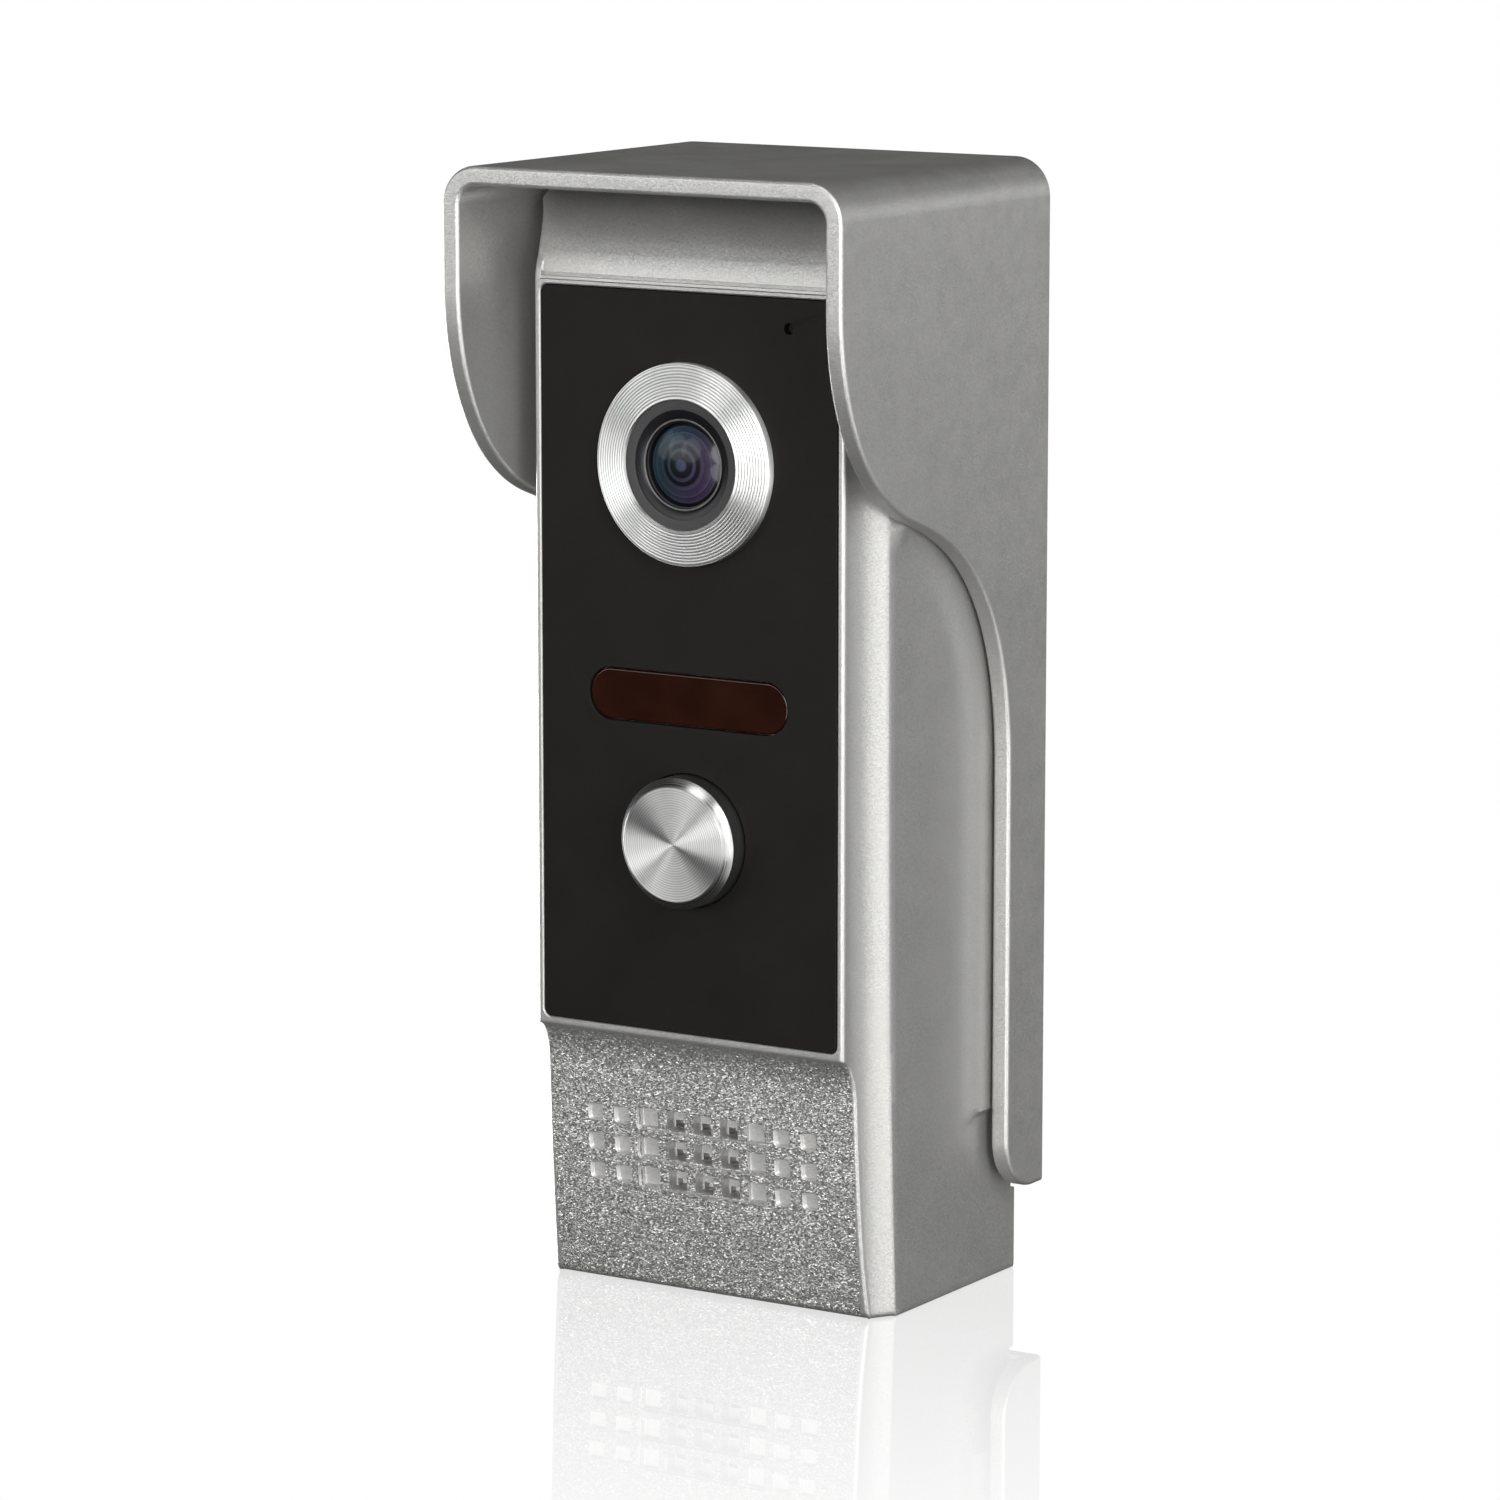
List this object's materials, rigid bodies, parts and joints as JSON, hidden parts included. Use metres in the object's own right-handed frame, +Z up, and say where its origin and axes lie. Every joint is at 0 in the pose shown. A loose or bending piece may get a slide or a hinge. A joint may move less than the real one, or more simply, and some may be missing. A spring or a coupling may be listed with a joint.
{
  "type": "video doorbell",
  "caption": "Wall-mounted outdoor video door station: slim silver body with a black face panel, camera, infrared window, call button and speaker grille under a U-shaped rain hood.",
  "frame": {"origin": "on the wall plane, midway between the two wall screw holes in the hood's back plate", "axes": "+Z up, +Y out of the back into the wall, so the panel faces -Y, +X to the right as seen by a visitor"},
  "size_m": [0.0546, 0.0471, 0.1349],
  "materials": {
    "hood_paint": "silver metallic paint with fine sparkle, satin",
    "body_paint": "moulded plastic in silver metallic paint with a coarse sparkle, satin",
    "panel_black": "black sheet with a fine matt finish",
    "turned_aluminium": "turned, fine concentric grooves",
    "button_metal": "turned face with a polished bevel",
    "bezel_grey": "smooth grey moulding",
    "black_plastic": "fine matt black moulding",
    "barrel_black": "black anodised, satin",
    "lens_glass": "coated optical glass",
    "ir_red": "dark red infrared-pass sheet, glossy",
    "circuit_green": "solder mask over fibreglass",
    "component_black": "moulded electronic parts",
    "lamp_clear": "clear tinted resin",
    "sensor_ceramic": "light-sensitive element",
    "spring_steel": "drawn steel wire",
    "zinc_steel": "zinc-plated steel",
    "rubber_black": "soft matt rubber",
    "foam_tape": "double-sided foam tape",
    "cloth_white": "fine woven dust cloth",
    "cone_paper": "treated speaker cone",
    "magnet_iron": "plated magnet cup",
    "white_plastic": "natural nylon",
    "blue_plastic": "moulded trimmer case",
    "brass_pin": "tinned brass",
    "ribbon_film": "polyimide ribbon",
    "lead_red": "insulated lead"
  },
  "bodies": {
    "station": {"rain_hood": "hood_paint", "front_housing": "body_paint", "back_cover": "black_plastic", "housing_seal": "rubber_black", "front_panel": "panel_black", "panel_adhesive": "foam_tape", "camera_ring": "turned_aluminium", "lens_bezel": "bezel_grey", "lens_barrel": "barrel_black", "lens_front_glass": "lens_glass", "lens_rear_glass": "lens_glass", "lens_holder": "black_plastic", "image_sensor": "component_black", "camera_board": "circuit_green", "infrared_window": "ir_red", "infrared_board": "circuit_green", "infrared_lamps": "lamp_clear", "light_sensor": "sensor_ceramic", "button_bush": "black_plastic", "button_spring": "spring_steel", "switch_body": "component_black", "microphone": "zinc_steel", "microphone_boot": "rubber_black", "speaker_frame": "zinc_steel", "speaker_cone": "cone_paper", "speaker_magnet": "magnet_iron", "speaker_cloth": "cloth_white", "speaker_gasket": "rubber_black", "main_board": "circuit_green", "board_components": "component_black", "volume_body": "blue_plastic", "cable_socket": "white_plastic", "socket_pins": "brass_pin", "camera_ribbon": "ribbon_film", "speaker_leads": "lead_red", "cable_grommet": "rubber_black", "housing_screws": "zinc_steel", "board_screws": "zinc_steel", "hood_screw": "zinc_steel"},
    "call_button": {"button_cap": "button_metal", "button_clip": "spring_steel"},
    "switch_plunger": {"switch_plunger": "white_plastic"},
    "volume_rotor": {"volume_rotor": "white_plastic"}
  },
  "joints": [
    {"name": "call_button_press", "type": "slide", "parent": "station", "child": "call_button", "axis": [0, 1, 0], "range_m": [0, 0.001], "stiffness_N_per_m": 700, "springref_m": -0.0025, "deforming": ["button_spring"]},
    {"name": "switch_plunger_press", "type": "slide", "parent": "station", "child": "switch_plunger", "axis": [0, 1, 0], "range_m": [0, 0.001]},
    {"name": "volume_turn", "type": "hinge", "parent": "station", "child": "volume_rotor", "pos_m": [0.011, -0.0149, -0.0018], "axis": [0, 1, 0], "range_deg": [-135, 135]}
  ],
  "couplings": [
    {"joint": "switch_plunger_press", "follows": "call_button_press", "ratio": 1}
  ]
}
